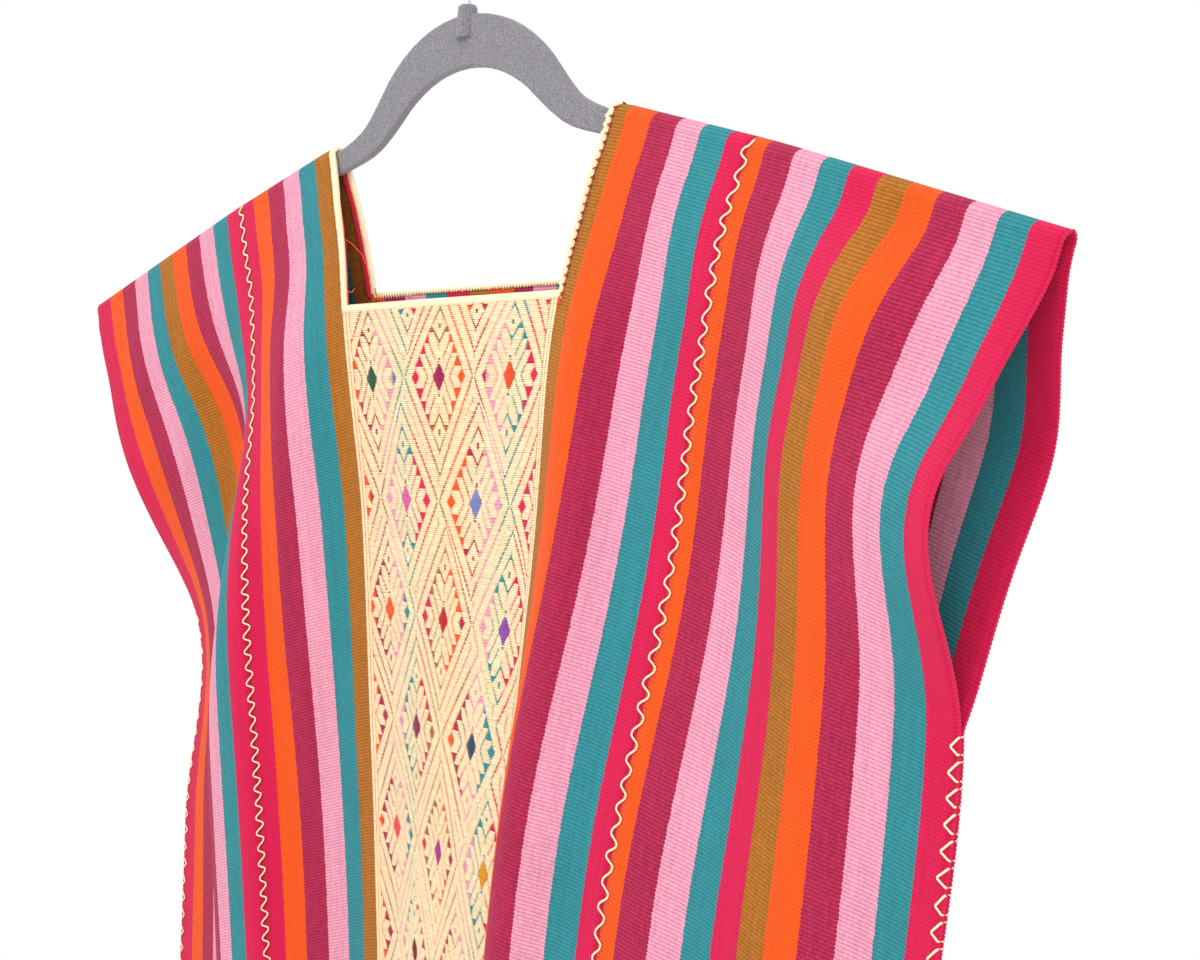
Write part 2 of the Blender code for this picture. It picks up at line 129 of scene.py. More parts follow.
# a soft crease: across and along at its start and its end, half width, and height (a trough's is less than 0)
crease = namedtuple("crease", "name u0 v0 u1 v1 wide high")
creases = (
    crease("sleeve fold from the shoulder", 24.0, 0.8, 29.5, 12.0, 1.5, 0.10),
    crease("trough beside it", 20.5, 0.8, 25.0, 14.0, 1.7, -0.12),
    crease("sleeve edge dip", 29.5, 3.0, 32.5, 15.0, 1.2, -0.10),
    crease("short pull over the join", 15.5, 5.0, 18.5, 11.0, 0.9, 0.05),
    crease("side ripple", 24.5, 22.0, 26.5, 44.0, 1.6, 0.09),
    crease("side trough", 29.0, 20.0, 28.0, 40.0, 1.3, -0.08),
    crease("low ripple on the right", 19.0, 38.0, 16.5, 60.0, 1.8, -0.12),
    crease("strap ripple", 11.0, 14.0, 12.0, 36.0, 1.2, 0.05),
    crease("left strap dip", -12.5, 3.0, -11.0, 15.0, 1.3, -0.07),
    crease("left strap ripple", -15.0, 16.0, -12.5, 38.0, 1.1, 0.06),
    crease("left sleeve pull", -22.0, 1.0, -27.5, 13.0, 1.5, 0.09),
    crease("left sleeve trough", -26.0, 1.5, -30.5, 12.0, 1.2, -0.08),
    crease("left side ripple", -27.0, 24.0, -25.0, 48.0, 1.5, -0.08),
    crease("bib dent", -3.5, 20.0, -1.0, 40.0, 2.2, -0.06),
    crease("bib swell", 4.5, 24.0, 5.0, 50.0, 2.0, 0.05),
    crease("back pull, right", 24.0, -1.0, 28.0, -14.0, 1.6, 0.10),
    crease("back trough, right", 19.0, -2.0, 21.5, -19.0, 1.5, -0.09),
    crease("back side ripple", 27.0, -22.0, 25.0, -46.0, 1.7, 0.10),
    crease("back middle ripple", 3.5, -14.0, 6.0, -42.0, 2.0, -0.10),
    crease("back strap ripple", -12.0, -12.0, -13.5, -36.0, 1.6, 0.08),
    crease("back pull, left", -23.0, -1.2, -27.0, -15.0, 1.5, 0.08),
    crease("back low trough", -19.0, -30.0, -17.5, -58.0, 1.8, -0.10),
    crease("back low ripple, right", 14.0, -36.0, 12.0, -60.0, 1.8, 0.10),
)
ripple = {"high": 0.018, "across": 0.9, "along": 0.33, "sway": 1.3, "swayAlong": 0.17, "lean": 0.4}
gridStep = 0.25
fine = np.arange(-cloth["halfWidth"], cloth["halfWidth"] + 0.01, gridStep)


def ease(t):
    t = np.clip(t, 0.0, 1.0)
    return t * t * (3.0 - 2.0 * t)


def bell(t):
    return 0.5 + 0.5 * np.cos(math.pi * np.clip(t, -1.0, 1.0))


def through(down, heights, values):  # a soft curve through a value at each height
    at = np.clip(down, heights[0], heights[-1])
    k = int(np.clip(np.searchsorted(heights, at, side="right") - 1, 0, len(heights) - 2))
    slopes = np.gradient(np.array(values, float), np.array(heights, float))
    step = heights[k + 1] - heights[k]
    t = (at - heights[k]) / step
    a, b = values[k], values[k + 1]
    rise = (t**3 - 2 * t**2 + t) * slopes[k] + (t**3 - t**2) * slopes[k + 1]
    return a + (b - a) * (3 * t**2 - 2 * t**3) + step * rise


def slopeOf(across):
    strap = ease((abs(across) - cloth["neckHalf"] + 1.0) / 2.0)
    arm = ease((abs(across) - cloth["slopeChanges"] + 2.0) / 4.0)
    first, second = math.sin(cloth["shoulderSlope"]), math.sin(cloth["armSlope"])
    return first * strap + (second - first) * arm


def fromMiddle(values):
    steps = 0.5 * (values[1:] + values[:-1]) * np.diff(fine)
    total = np.concatenate([[0.0], np.cumsum(steps)])
    return total - np.interp(0.0, fine, total)


shoulderDrop = -np.sign(fine) * fromMiddle(slopeOf(fine))


def plainSection(down, front):
    turned = np.zeros_like(fine)
    moved = ease((down - yoke) / (waist - yoke))
    heights = (cloth["armGrip"], cap, yoke, chest, waist, cloth["length"])
    for fold in frontFlanks if front else backFlanks:
        foldAt = fold.atYoke + (fold.atHem - fold.atYoke) * moved
        amount = through(down, heights, (0.0, *fold.degrees))
        turned += math.radians(1.0) * amount * bell((fine - foldAt) / fold.reach)
    spread = cloth["neckSpread"] * (1.0 - min(down / cloth["spreadEnds"], 1.0)) ** 2
    x = fromMiddle(np.cos(turned) * np.sqrt(1.0 - slopeOf(fine) ** 2))
    x = x + spread * np.clip(fine / cloth["neckHalf"], -1.0, 1.0)
    wrapped = min(down / cloth["foldRadius"], math.pi / 2)
    middleY = through(down, [row[0] for row in middles], [row[1 if front else 2] for row in middles])
    outwards = -1.0 if front else 1.0
    y = fromMiddle(np.sin(turned)) + middleY * ease(down / (2 * cloth["armGrip"]))
    return x, y + outwards * cloth["foldRadius"] * math.sin(wrapped)


def section(down, front):  # below the armholes the back's edges come to the front's
    x, y = plainSection(down, front)
    if not front:
        drawsFrom = cloth["seamDrawShare"] * cloth["armhole"]
        held = max(down - drawsFrom, 0.0) / (cloth["armhole"] - drawsFrom)
        held = min(held, 1.0) ** cloth["seamDrawPower"]
        frontX, frontY = plainSection(down, True)
        for end in (0, -1):
            near = ease((np.abs(fine) - cloth["halfWidth"] + cloth["seamReach"]) / cloth["seamReach"])
            pull = held * near * (fine * fine[end] > 0)
            x = x + pull * (frontX[end] - x[end])
            y = y + pull * (frontY[end] + cloth["thick"] + cloth["gap"] - y[end])
    return x, y


def dropOf(down):
    radius = cloth["foldRadius"]
    wrap = radius * math.pi / 2
    if down < wrap:
        return radius * (1.0 - math.cos(down / radius))
    lost = cloth["shortening"] * (1.0 - (1.0 - min(down / cloth["spreadEnds"], 1.0)) ** 2)
    return radius + (down - wrap) - lost


def creased(u, v):
    lift = np.zeros_like(u)
    for one in creases:
        along = np.array((one.u1 - one.u0, one.v1 - one.v0))
        length = np.linalg.norm(along)
        along /= length
        t = ((u - one.u0) * along[0] + (v - one.v0) * along[1]) / length
        off = (u - one.u0) * along[1] - (v - one.v0) * along[0]
        profile = bell(off / (one.wide * 1.6))
        lift += one.high * profile * bell(2.0 * np.clip(t, 0, 1) - 1.0) * ((t > 0) & (t < 1))
    sway = ripple["sway"] * np.sin(v * ripple["swayAlong"])
    wave = np.sin(u * ripple["across"] + sway) * np.sin(v * ripple["along"] + ripple["lean"] * u)
    lift += ripple["high"] * wave
    quiet = ease(np.abs(v) / 3.0)  # none on the shoulder fold
    return lift * quiet


# The hanging cloth, worked out once on a close grid: its middle and its outward directions.
closeV = np.concatenate([np.arange(0.0, 1.5, 0.05), np.arange(1.5, cloth["length"] + 0.01, gridStep)])
allV = np.concatenate([-closeV[:0:-1], closeV])
middle = np.zeros((len(allV), len(fine), 3))
for row, v in enumerate(allV):
    sectionX, sectionY = section(abs(v), v >= 0)
    middle[row, :, 0] = sectionX
    middle[row, :, 1] = sectionY
    middle[row, :, 2] = cloth["shoulderZ"] + shoulderDrop - dropOf(abs(v))


def normalsOf(points):
    right = np.gradient(points, fine, axis=1)
    down = np.gradient(points, allV, axis=0)
    normal = np.cross(down, right)
    return normal / np.linalg.norm(normal, axis=2, keepdims=True)


gridU, gridV = np.meshgrid(fine, allV)
outwardWay = normalsOf(middle)
middle += outwardWay * creased(gridU, gridV)[..., None]
outwardWay = normalsOf(middle)
print("drape worked out")


def onCloth(u, v, lift=0.0):  # points in metres, lifted off the cloth's middle outwards
    u, v = np.broadcast_arrays(np.asarray(u, float), np.asarray(v, float))
    i = np.clip(np.searchsorted(fine, u, side="right") - 1, 0, len(fine) - 2)
    j = np.clip(np.searchsorted(allV, v, side="right") - 1, 0, len(allV) - 2)
    s = ((u - fine[i]) / (fine[i + 1] - fine[i]))[..., None]
    t = ((v - allV[j]) / (allV[j + 1] - allV[j]))[..., None]

    def mix(grid):
        return ((grid[j, i] * (1 - s) + grid[j, i + 1] * s) * (1 - t)
                + (grid[j + 1, i] * (1 - s) + grid[j + 1, i + 1] * s) * t)

    way = mix(outwardWay)
    way = way / np.linalg.norm(way, axis=-1, keepdims=True)
    return (mix(middle) + way * np.asarray(lift, float)[..., None]) * cm


# ---- colours and materials
yarn = {  # sRGB
    "hot": (214, 24, 78),
    "orange": (240, 86, 18),
    "plum": (178, 38, 78),
    "pink": (234, 158, 182),
    "teal": (48, 138, 146),
    "olive": (176, 108, 30),
    "cream": (251, 230, 191),
}


def linear(rgb):
    out = []
    for value in rgb:
        c = value / 255.0
        out.append(c / 12.92 if c <= 0.04045 else ((c + 0.055) / 1.055) ** 2.4)
    return (*out, 1.0)


def newMaterial(name, roughness=0.85):
    made = bpy.data.materials.new(name)
    made.use_nodes = True
    tree = made.node_tree
    shader = tree.nodes["Principled BSDF"]
    shader.inputs["Roughness"].default_value = roughness
    return made, tree, shader


def math2(tree, operation, a, b=0.0, c=0.0, clamp=False):
    node = tree.nodes.new("ShaderNodeMath")
    node.operation = operation
    node.use_clamp = clamp
    for socket, value in zip(node.inputs, (a, b, c)):
        if hasattr(value, "is_linked"):
            tree.links.new(value, socket)
        else:
            socket.default_value = value
    return node.outputs[0]


def stepBetween(tree, value, low, high):  # 0 below low, 1 above high
    node = tree.nodes.new("ShaderNodeMapRange")
    node.interpolation_type = "SMOOTHSTEP"
    tree.links.new(value, node.inputs["Value"])
    node.inputs["From Min"].default_value = low
    node.inputs["From Max"].default_value = high
    return node.outputs["Result"]


def noise(tree, vector, scale, detail=2.0):
    node = tree.nodes.new("ShaderNodeTexNoise")
    node.inputs["Scale"].default_value = scale
    node.inputs["Detail"].default_value = detail
    if vector is not None:
        tree.links.new(vector, node.inputs["Vector"])
    return node.outputs["Fac"]


def mixColour(tree, factor, a, b, blend="MIX"):
    node = tree.nodes.new("ShaderNodeMix")
    node.data_type = "RGBA"
    node.blend_type = blend
    for socket, value in ((node.inputs[0], factor), (node.inputs[6], a), (node.inputs[7], b)):
        if hasattr(value, "is_linked"):
            tree.links.new(value, socket)
        else:
            socket.default_value = value
    return node.outputs[2]


def vectorOf(tree, x, y, z=0.0):
    node = tree.nodes.new("ShaderNodeCombineXYZ")
    for socket, value in zip(node.inputs, (x, y, z)):
        if hasattr(value, "is_linked"):
            tree.links.new(value, socket)
        else:
            socket.default_value = value
    return node.outputs[0]


mapWidth, mapLength = 100.0, 200.0  # centimetres of cloth to the flat map's width and height


def flatPlace(tree):  # the flat place on the cloth, in centimetres, from the piece's own map
    uv = tree.nodes.new("ShaderNodeUVMap")
    uv.uv_map = "flat"
    parts = tree.nodes.new("ShaderNodeSeparateXYZ")
    tree.links.new(uv.outputs[0], parts.inputs[0])
    u = math2(tree, "MULTIPLY_ADD", parts.outputs[0], mapWidth, -mapWidth / 2)
    v = math2(tree, "MULTIPLY_ADD", parts.outputs[1], mapLength, -mapLength / 2)
    return u, v


def bumpTo(tree, shader, height, distance, strength=1.0):
    bump = tree.nodes.new("ShaderNodeBump")
    bump.inputs["Distance"].default_value = distance
    bump.inputs["Strength"].default_value = strength
    tree.links.new(height, bump.inputs["Height"])
    tree.links.new(bump.outputs[0], shader.inputs["Normal"])


def stripeRamp(tree, place, low, high, stripes, colourOf):
    ramp = tree.nodes.new("ShaderNodeValToRGB")
    ramp.color_ramp.interpolation = "CONSTANT"
    elements = ramp.color_ramp.elements
    while len(elements) > 1:
        elements.remove(elements[-1])
    for k, (start, name) in enumerate(stripes):
        position = (start - low) / (high - low)
        element = elements[0] if k == 0 else elements.new(position)
        element.position = max(position, 0.0)
        element.color = colourOf(name)
    share = math2(tree, "MULTIPLY_ADD", place, 1.0 / (high - low), -low / (high - low))
    tree.links.new(share, ramp.inputs[0])
    return ramp


weave = {
    "rib": 0.165,  # from one weft to the next
    "warp": 0.085,
    "edgeWobble": 0.02,  # how far a stripe's edge moves with each rib, and how far it wanders
    "edgeWander": 0.12,
    "ribShade": 0.20,  # painted shade: how much darker it is between two ribs, and between two warps
    "warpShade": 0.12,
    "lights": 0.3,
    "streaks": 0.35,
    "patches": 0.16,
    "roughness": 0.82,
    "sheen": 0.07,
    "specular": 0.18,
    "bump": 0.00045,
    # what shows of the weft between the warps, and how strongly
    "flecks": {
        "hot": ((190, 10, 60), 0.2),
        "orange": ((215, 50, 15), 0.15),
        "plum": ((112, 8, 44), 0.9),
        "pink": ((205, 70, 120), 0.55),
        "teal": ((52, 84, 110), 0.5),
        "olive": ((140, 52, 14), 0.75),
    },
}


def weaveMaterial(name, stripes, low, high):
    made, tree, shader = newMaterial(name, weave["roughness"])
    u, v = flatPlace(tree)
    ribs = math2(tree, "DIVIDE", v, weave["rib"])
    slow = noise(tree, vectorOf(tree, u, v), 0.35)
    wobble = math2(tree, "SINE", math2(tree, "MULTIPLY", ribs, math.tau))
    wobble = math2(tree, "MULTIPLY", wobble, weave["edgeWobble"])
    wander = noise(tree, vectorOf(tree, 0.0, v), 2.2)
    wander = math2(tree, "MULTIPLY_ADD", wander, weave["edgeWander"], -weave["edgeWander"] / 2)
    place = math2(tree, "ADD", math2(tree, "ADD", u, wobble), wander)
    base = stripeRamp(tree, place, low, high, stripes, lambda n: linear(yarn[n]))
    fleck = stripeRamp(tree, place, low, high, stripes,
                       lambda n: (*linear(weave["flecks"][n][0])[:3], weave["flecks"][n][1]))
    row = math2(tree, "FLOOR", ribs)
    odd = math2(tree, "MULTIPLY", math2(tree, "MODULO", math2(tree, "ABSOLUTE", row), 2.0), 0.5)
    columns = math2(tree, "ADD", math2(tree, "DIVIDE", u, weave["warp"]), odd)

    def between(value):  # 0 at the middle of a thread, 1 between two
        part = math2(tree, "FRACT", value)
        return math2(tree, "MULTIPLY", math2(tree, "ABSOLUTE", math2(tree, "SUBTRACT", part, 0.5)), 2.0)

    acrossRib, acrossWarp = between(ribs), between(columns)
    ribGap = stepBetween(tree, acrossRib, 0.45, 1.0)
    warpGap = stepBetween(tree, acrossWarp, 0.4, 1.0)
    speckPlace = vectorOf(tree, math2(tree, "MULTIPLY", u, 9.0), math2(tree, "MULTIPLY", v, 6.0))
    speck = stepBetween(tree, noise(tree, speckPlace, 1.0, 1.0), 0.35, 0.65)
    pin = math2(tree, "MULTIPLY", ribGap, math2(tree, "MULTIPLY_ADD", warpGap, 0.75, 0.25))
    pin = math2(tree, "MULTIPLY", pin, math2(tree, "MULTIPLY_ADD", speck, 0.8, 0.35), clamp=True)
    strength = math2(tree, "MULTIPLY", pin, fleck.outputs["Alpha"], clamp=True)
    colour = mixColour(tree, strength, base.outputs["Color"], fleck.outputs["Color"])
    streakPlace = vectorOf(tree, math2(tree, "MULTIPLY", u, 5.0), math2(tree, "MULTIPLY", v, 0.12))
    streak = noise(tree, streakPlace, 1.0, 3.0)
    streak = math2(tree, "MULTIPLY_ADD", streak, weave["streaks"], 1.0 - weave["streaks"] / 2)
    patch = math2(tree, "MULTIPLY_ADD", slow, weave["patches"], -weave["patches"] / 2)
    tone = math2(tree, "ADD", streak, patch)
    strong = fleck.outputs["Alpha"]
    # painted shade between two ribs and between two warps, as strong as the weft shows there
    gapShade = math2(tree, "ADD", math2(tree, "MULTIPLY", ribGap, weave["ribShade"]),
                 math2(tree, "MULTIPLY", warpGap, weave["warpShade"]))
    tone = math2(tree, "SUBTRACT", tone, math2(tree, "MULTIPLY", gapShade, strong))
    cell = tree.nodes.new("ShaderNodeTexWhiteNoise")
    tree.links.new(vectorOf(tree, math2(tree, "FLOOR", columns), row), cell.inputs["Vector"])
    lights = math2(tree, "MULTIPLY_ADD", cell.outputs["Value"], weave["lights"], -0.3 * weave["lights"])
    lights = math2(tree, "MULTIPLY", lights, strong)
    tone = math2(tree, "ADD", tone, math2(tree, "ADD", lights, 0.02))
    colour = mixColour(tree, 1.0, colour, vectorOf(tree, tone, tone, tone), "MULTIPLY")
    tree.links.new(colour, shader.inputs["Base Color"])
    shader.inputs["Sheen Weight"].default_value = weave["sheen"]
    shader.inputs["Specular IOR Level"].default_value = weave["specular"]
    sunk = math2(tree, "ADD", math2(tree, "MULTIPLY", ribGap, 0.7), math2(tree, "MULTIPLY", warpGap, 0.25))
    bumpTo(tree, shader, math2(tree, "SUBTRACT", 1.0, sunk), weave["bump"], 0.8)
    return made


twist = {"fuzz": 1600.0, "patches": 60.0, "roughness": 0.8, "sheen": 0.15, "specular": 0.2, "bump": 0.0002}


def yarnMaterial(name, colour=None):  # a twisted cotton yarn; with no colour it takes the piece's own dye, with any painted shade in it
    made, tree, shader = newMaterial(name, twist["roughness"])
    place = tree.nodes.new("ShaderNodeTexCoord").outputs["Object"]
    fuzz = noise(tree, place, twist["fuzz"], 2.0)
    patch = noise(tree, place, twist["patches"], 2.0)
    if colour is None:
        attribute = tree.nodes.new("ShaderNodeVertexColor")
        attribute.layer_name = "dyeAndPaintedShade"
        base = attribute.outputs["Color"]
    else:
        base = linear(colour)
    tone = math2(tree, "MULTIPLY_ADD", fuzz, 0.4, 0.72)
    tone = math2(tree, "ADD", tone, math2(tree, "MULTIPLY", patch, 0.16))
    dyed = mixColour(tree, 1.0, base, vectorOf(tree, tone, tone, tone), "MULTIPLY")
    tree.links.new(dyed, shader.inputs["Base Color"])
    shader.inputs["Sheen Weight"].default_value = twist["sheen"]
    shader.inputs["Specular IOR Level"].default_value = twist["specular"]
    bumpTo(tree, shader, fuzz, twist["bump"], 0.7)
    return made


def newPiece(name, vertices, faces, material, uvs=None, dyeAndPaintedShade=None):
    mesh = bpy.data.meshes.new(name)
    mesh.from_pydata(np.asarray(vertices).reshape(-1, 3).tolist(), [], [tuple(face) for face in faces])
    if uvs is not None:
        layer = mesh.uv_layers.new(name="flat")
        corner = np.zeros(len(mesh.loops), np.int32)
        mesh.loops.foreach_get("vertex_index", corner)
        layer.data.foreach_set("uv", np.asarray(uvs, float)[corner].ravel())
    # the yarn's colour at each point, with the painted shade that the brocade floats carry
    if dyeAndPaintedShade is not None:
        layer = mesh.color_attributes.new(name="dyeAndPaintedShade", type="FLOAT_COLOR", domain="POINT")
        layer.data.foreach_set("color", np.asarray(dyeAndPaintedShade, float).ravel())
    mesh.materials.append(material)
    mesh.polygons.foreach_set("use_smooth", [True] * len(mesh.polygons))
    mesh.validate()
    made = bpy.data.objects.new(name, mesh)
    bpy.context.scene.collection.objects.link(made)
    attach(made, "root")
    return made


# ---- the three woven panels
# the stripes, from the viewer's left: where each starts, and its yarn
strapRight = ((8.6, "olive"), (9.4, "orange"), (10.95, "plum"), (12.5, "pink"), (14.05, "teal"),
              (15.6, "hot"))
strapLeft = ((-17.0, "hot"), (-15.85, "orange"), (-14.4, "plum"), (-12.95, "pink"), (-11.5, "teal"),
             (-10.05, "olive"))
bib = ((-8.6, "orange"), (-7.6, "plum"), (-6.0, "pink"), (-4.4, "teal"), (-2.9, "hot"), (-1.1, "olive"),
       (0.3, "orange"), (2.1, "plum"), (3.4, "pink"), (5.0, "teal"), (6.3, "hot"), (7.7, "olive"))
centreStripes = strapLeft + bib + strapRight
rightStripes = ((16.9, "orange"), (17.9, "plum"), (19.45, "pink"), (21.0, "teal"), (22.5, "hot"),
                (24.0, "olive"), (25.5, "orange"), (27.0, "plum"), (28.5, "pink"), (30.0, "teal"),
                (31.5, "hot"))
leftStripes = ((-33.0, "hot"), (-31.5, "orange"), (-30.05, "plum"), (-28.6, "pink"), (-27.15, "teal"),
               (-25.7, "olive"), (-24.25, "orange"), (-22.8, "plum"), (-21.35, "pink"), (-19.9, "teal"),
               (-18.45, "hot"))
# how close the panels' rows stand, and those on the shoulder fold, with how far down it reaches
panels = {"across": 0.42, "along": 0.55, "onFold": 0.09, "fold": 0.72}


def between(start, end, step):
    return np.linspace(start, end, max(1, round(abs(end - start) / step)) + 1)


def alongRows(stops):
    down = [np.arange(0.0, panels["fold"], panels["onFold"])]
    for start, end in zip((panels["fold"], *stops[:-1]), stops):
        down.append(between(start, end, panels["along"])[:-1])
    return np.concatenate([*down, [stops[-1]]])


def panelGrid(name, across, along, material, hole=None):  # a hole's half width, and its reach back and front
    u, v = np.meshgrid(across, along)
    points = onCloth(u, v)
    columns = len(across)
    faces = []
    for j in range(len(along) - 1):
        for i in range(columns - 1):
            atU, atV = (across[i] + across[i + 1]) / 2, (along[j] + along[j + 1]) / 2
            if hole and abs(atU) < hole[0] and -hole[1] < atV < hole[2]:
                continue
            a = j * columns + i
            faces.append((a, a + 1, a + columns + 1, a + columns))
    uvs = np.stack([u.ravel() / mapWidth + 0.5, v.ravel() / mapLength + 0.5], axis=1)
    used = np.unique(np.array(faces))
    number = np.full(len(uvs), -1)
    number[used] = np.arange(len(used))
    made = newPiece(name, points.reshape(-1, 3)[used], number[np.array(faces)], material,
                    uvs=uvs[used])
    shell = made.modifiers.new("cloth", "SOLIDIFY")
    shell.thickness = cloth["shown"] * cm
    shell.offset = 0.0
    bpy.context.view_layer.objects.active = made
    bpy.ops.object.select_all(action="DESELECT")
    made.select_set(True)
    bpy.ops.object.modifier_apply(modifier="cloth")
    return made


halfGap = cloth["gap"] / 2
frontRows = alongRows((cloth["neckFront"], cloth["length"]))
backRows = alongRows((cloth["neckHoleBack"], cloth["length"]))
centreAcross = np.unique(np.concatenate([
    between(-cloth["joinAt"] + halfGap, -cloth["neckHalf"], panels["across"]),
    between(-cloth["neckHalf"], cloth["neckHalf"], panels["across"]),
    between(cloth["neckHalf"], cloth["joinAt"] - halfGap, panels["across"])]).round(5))
centrePanel = panelGrid(
    "centrePanel", centreAcross, np.concatenate([-backRows[:0:-1], frontRows]),
    weaveMaterial("centreWeave", centreStripes, -17.0, 17.0),
    hole=(cloth["neckHalf"], cloth["neckHoleBack"], cloth["neckFront"]))
sideRows = alongRows((cloth["length"],))
sideAlong = np.concatenate([-sideRows[:0:-1], sideRows])
sideAcross = between(cloth["joinAt"] + halfGap, cloth["halfWidth"], panels["across"])
sidePanelRight = panelGrid("sidePanelRight", sideAcross, sideAlong,
                           weaveMaterial("rightWeave", rightStripes, 16.9, 33.1))
sidePanelLeft = panelGrid("sidePanelLeft", -sideAcross[::-1], sideAlong,
                          weaveMaterial("leftWeave", leftStripes, -33.1, -16.9))
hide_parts("centre_panel")
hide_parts("side_panel_right")
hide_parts("side_panel_left")
print("panels hung")

# ---- brocade: each weft row's floats, charted from the lozenges, in centimetres
brocade = {
    "row": 0.105,
    "high": 0.085,
    "sit": 0.062,  # the ground cloth's outer face, from its middle
    "half": 2.9,  # the motif below is drawn for lozenges 5.8 apart, in rows 5.7 apart
    "pitch": 5.7,
    "reach": 0.8 * 5.7,  # how far up and down a lozenge's outer line runs
    "inner": 0.765,
    "line": 0.988,
    "lineWide": (0.009, 0.019),  # half of it, in odd rows and even ones
    "lineApart": 0.04,  # no line nearer than this to where two lozenges meet
    "barSlope": 1.55,
    "barLine": (0.028, 0.055),
    "barFrom": 0.3,
    # each bar of the motif: where it starts, and how far up the cream of it reaches
    "bars": ((0.43, 1.66), (-0.475, 1.1), (-1.36, 0.54)),
    "barTop": 2.17,
    "small": (2.55, 0.6, 0.74),  # the little diamond's middle, half width and half height
    "smallGap": 1.2,
    "smallDot": (0.07, 0.13),
    "eye": (1.9, 0.32, 0.36),
    "solid": (0.5, 0.72),  # the coloured diamond's half width and half height
    "solidTop": 0.9,
    "solidDot": (0.12, 0.07, 0.06),  # how far above it a dot sits, its half width and half height
    "borders": ((8.02, 8.06), (8.30, 8.34)),
    "edge": 8.58,
    "rightBorderIn": 0.25,
    "rowsReach": 1.9,  # no lozenge reaches further than this many rows
    "sample": 0.015,
    "sampleTo": 8.62,
    "shortest": 4,  # samples
    "longest": 0.72,
    "overlap": 0.018,
    # along a float: where its sections stand, and how high each rises
    "stations": (0.0, 0.15, 0.5, 0.85, 1.0),
    "rise": (0.0, 0.75, 1.0, 0.75, 0.0),
    "fat": 1.02,
    "endsFat": 0.55,
    "sideFall": 0.78,
    "uneven": {"ends": 0.008, "row": 0.003, "high": 0.10, "shade": 0.035},
    # painted shade, warmed towards the ground's colour, on each float's two ends and on its sides
    "shadeAtFloatEnds": (0.82, 0.70, 0.60),
    "shadeAtFloatSides": (0.975, 0.945, 0.90),
}
lozengeRow = namedtuple("lozengeRow", "down lozenges")
unseen = (90, 90, 90)  # the centre lies outside the brocade
# the rows of lozenges, downwards: how far down, then where each is across and the colour of its centre
lozengeRows = (
    lozengeRow(7.3, ((-2.9, (70, 120, 160)), (2.5, (176, 40, 92)), (8.2, unseen))),
    lozengeRow(12.95, ((-6.36, (38, 96, 72)), (-0.24, (176, 20, 92)), (5.22, (238, 84, 20)))),
    lozengeRow(19.0, ((-9.4, unseen), (-3.76, (236, 100, 170)), (3.0, (130, 144, 205)), (8.6, unseen))),
    lozengeRow(24.7, ((-6.04, (244, 104, 20)), (0.36, (205, 16, 36)), (6.2, (150, 80, 180)))),
    lozengeRow(30.27, ((-8.9, unseen), (-2.8, (150, 50, 90)), (4.15, (40, 80, 100)), (10.0, unseen))),
    lozengeRow(35.82, ((-5.8, (240, 84, 90)), (0.85, (180, 40, 150)), (6.1, (232, 160, 20)))),
    lozengeRow(41.5, ((-9.0, unseen), (-3.0, (130, 30, 40)), (3.6, (30, 120, 120)), (9.4, unseen))),
    lozengeRow(47.2, ((-6.0, (70, 120, 60)), (0.4, (230, 60, 110)), (6.2, (40, 80, 150)))),
    lozengeRow(52.9, ((-9.2, unseen), (-3.2, (236, 110, 30)), (3.4, (120, 60, 160)), (9.2, unseen))),
    lozengeRow(58.5, ((-6.1, (200, 30, 50)), (0.2, (30, 130, 130)), (6.2, (236, 120, 180)))),
    lozengeRow(64.2, ((-9.2, unseen), (-3.1, (50, 90, 70)), (3.1, (230, 150, 30)), (9.2, unseen))),
)


def motif(a, b, odd):  # inside a lozenge, across and up from its middle: 0 ground, 1 cream, 2 its own colour
    w = b - brocade["barSlope"] * a
    here = np.ones(len(a), int)
    above = brocade["barTop"]
    edgeAt = brocade["half"] * (brocade["inner"] - above / brocade["reach"])
    for start, top in brocade["bars"]:
        corner = (top - start) / brocade["barSlope"]
        cut = corner + (edgeAt - corner) * (b - top) / (above - top)
        if top < b <= above:
            here[a > cut] = 0
        if b <= top:
            here[(np.abs(w - start) < brocade["barLine"][1 - odd]) & (a > brocade["barFrom"])] = 0
        above = top
        edgeAt = brocade["half"] * (brocade["inner"] - above / brocade["reach"])
    at, wide, high = brocade["eye"]
    here[np.abs(a - at) / wide + b / high < 1.0] = 0
    at, wide, high = brocade["small"]
    small = a / wide + abs(b - at) / high
    here[(small < brocade["smallGap"]) | (b > brocade["barTop"])] = 0
    here[small < 1.0] = 1
    dotWide, dotHigh = brocade["smallDot"]
    here[(a < dotWide) & (abs(b - at) < dotHigh)] = 0
    wide, high = brocade["solid"]
    solid = a / wide + b / high
    above, dotWide, dotHigh = brocade["solidDot"]
    here[(a < dotWide) & (abs(b - high - above) < dotHigh)] = 0
    here[(solid < 1.0) & (b < brocade["solidTop"] * high)] = 2
    return here


def dyeCode(row, place):  # the chart's number for the centre of a row's lozenge
    return 2 + row * 4 + place


